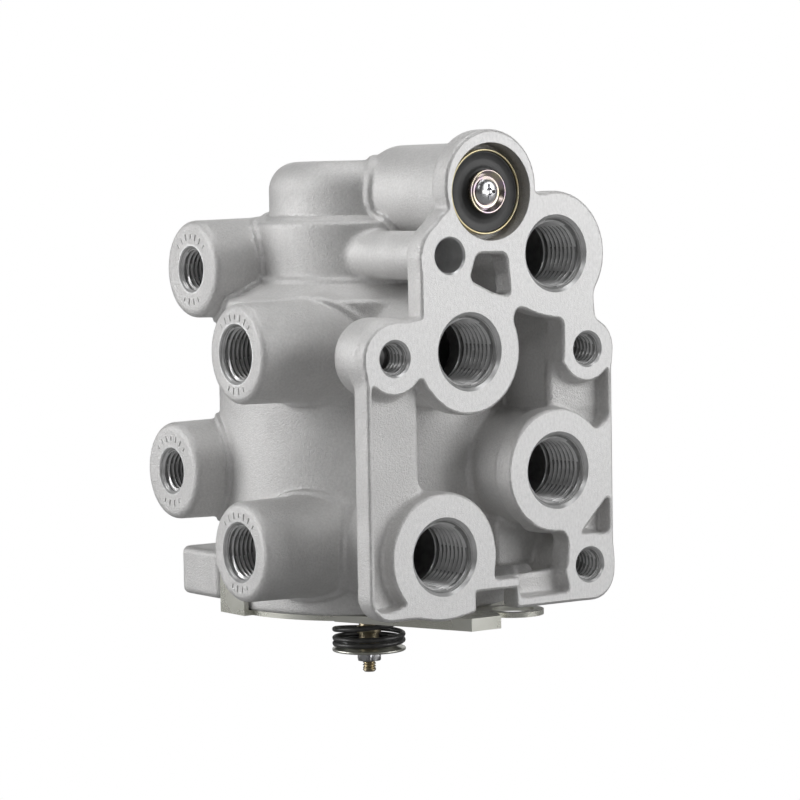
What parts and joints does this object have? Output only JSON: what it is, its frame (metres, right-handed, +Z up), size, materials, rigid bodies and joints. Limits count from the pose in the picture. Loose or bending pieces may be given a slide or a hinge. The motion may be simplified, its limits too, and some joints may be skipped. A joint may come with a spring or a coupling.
{
  "type": "multiport air relay valve",
  "caption": "Cast aluminium multi-port relay valve with a tapped mounting face, tapped side bosses, a sprung exhaust check and a sprung drain stem.",
  "frame": {"origin": "centre of the supply port's mouth in the milled mounting face", "axes": "-Y out of the mounting face, +X to the right of someone facing it, +Z up the body's bore axis"},
  "size_m": [0.1206, 0.1075, 0.1613],
  "materials": {
    "cast_aluminium": "shot-blasted casting, matte, with finely milled port faces",
    "machined_aluminium": "turned, satin",
    "piston_plastic": "moulded, matte black",
    "rubber_black": "moulded, satin black",
    "spring_steel_black": "black phosphated spring wire",
    "spring_steel_bright": "drawn wire, oiled",
    "zinc_plate": "zinc-plated pressed sheet, olive to bright",
    "zinc_yellow": "yellow chromated zinc, satin",
    "brass_turned": "turned, satin",
    "screw_steel": "bright zinc plated"
  },
  "bodies": {
    "body": {"valve_body": "cast_aluminium", "bottom_cap": "machined_aluminium", "bottom_cap_o_ring": "rubber_black", "cover_plate": "zinc_plate", "cover_screws": "screw_steel", "poppet_guide": "brass_turned", "poppet_guide_o_ring": "rubber_black", "guide_retaining_ring": "spring_steel_black", "relay_poppet_spring": "spring_steel_bright", "emergency_piston_spring": "spring_steel_bright", "drain_spring": "spring_steel_black", "exhaust_guide": "brass_turned", "exhaust_spring": "spring_steel_bright", "supply_check_seat": "piston_plastic", "supply_check_cage": "brass_turned", "supply_check_spring": "spring_steel_bright"},
    "relay_piston": {"relay_piston": "piston_plastic", "relay_piston_o_ring": "rubber_black"},
    "relay_poppet": {"relay_poppet": "machined_aluminium", "relay_poppet_seal": "rubber_black"},
    "emergency_piston": {"emergency_piston": "machined_aluminium", "emergency_piston_o_ring": "rubber_black"},
    "drain_stem": {"drain_stem": "brass_turned", "drain_disc": "rubber_black", "drain_disc_washer": "zinc_yellow", "drain_sleeve": "brass_turned", "spring_washer": "zinc_yellow", "stem_nut": "screw_steel"},
    "exhaust_check": {"exhaust_disc_cup": "zinc_yellow", "exhaust_rubber_disc": "rubber_black", "exhaust_inner_cup": "zinc_yellow", "exhaust_screw": "screw_steel", "exhaust_sleeve": "zinc_yellow"},
    "supply_check": {"supply_check_disc": "rubber_black"}
  },
  "joints": [
    {"name": "relay_piston_slide", "type": "slide", "parent": "body", "child": "relay_piston", "axis": [0, 0, -1], "range_m": [0, 0.003]},
    {"name": "relay_poppet_slide", "type": "slide", "parent": "body", "child": "relay_poppet", "axis": [0, 0, -1], "range_m": [0, 0.003], "stiffness_N_per_m": 1800, "springref_m": -0.006, "deforming": ["relay_poppet_spring"]},
    {"name": "emergency_piston_slide", "type": "slide", "parent": "body", "child": "emergency_piston", "axis": [0, 0, -1], "range_m": [0, 0.003], "stiffness_N_per_m": 6000, "springref_m": -0.008, "deforming": ["emergency_piston_spring"]},
    {"name": "drain_stem_slide", "type": "slide", "parent": "body", "child": "drain_stem", "axis": [0, 0, 1], "range_m": [0, 0.0025], "stiffness_N_per_m": 1500, "springref_m": -0.006, "deforming": ["drain_spring"]},
    {"name": "exhaust_check_slide", "type": "slide", "parent": "body", "child": "exhaust_check", "axis": [0, -1, 0], "range_m": [0, 0.002], "stiffness_N_per_m": 600, "springref_m": -0.004, "deforming": ["exhaust_spring"]},
    {"name": "supply_check_slide", "type": "slide", "parent": "body", "child": "supply_check", "axis": [0, 1, 0], "range_m": [0, 0.002], "stiffness_N_per_m": 300, "springref_m": -0.003, "deforming": ["supply_check_spring"]}
  ],
  "couplings": [
    {"joint": "relay_poppet_slide", "follows": "relay_piston_slide", "ratio": 1}
  ]
}
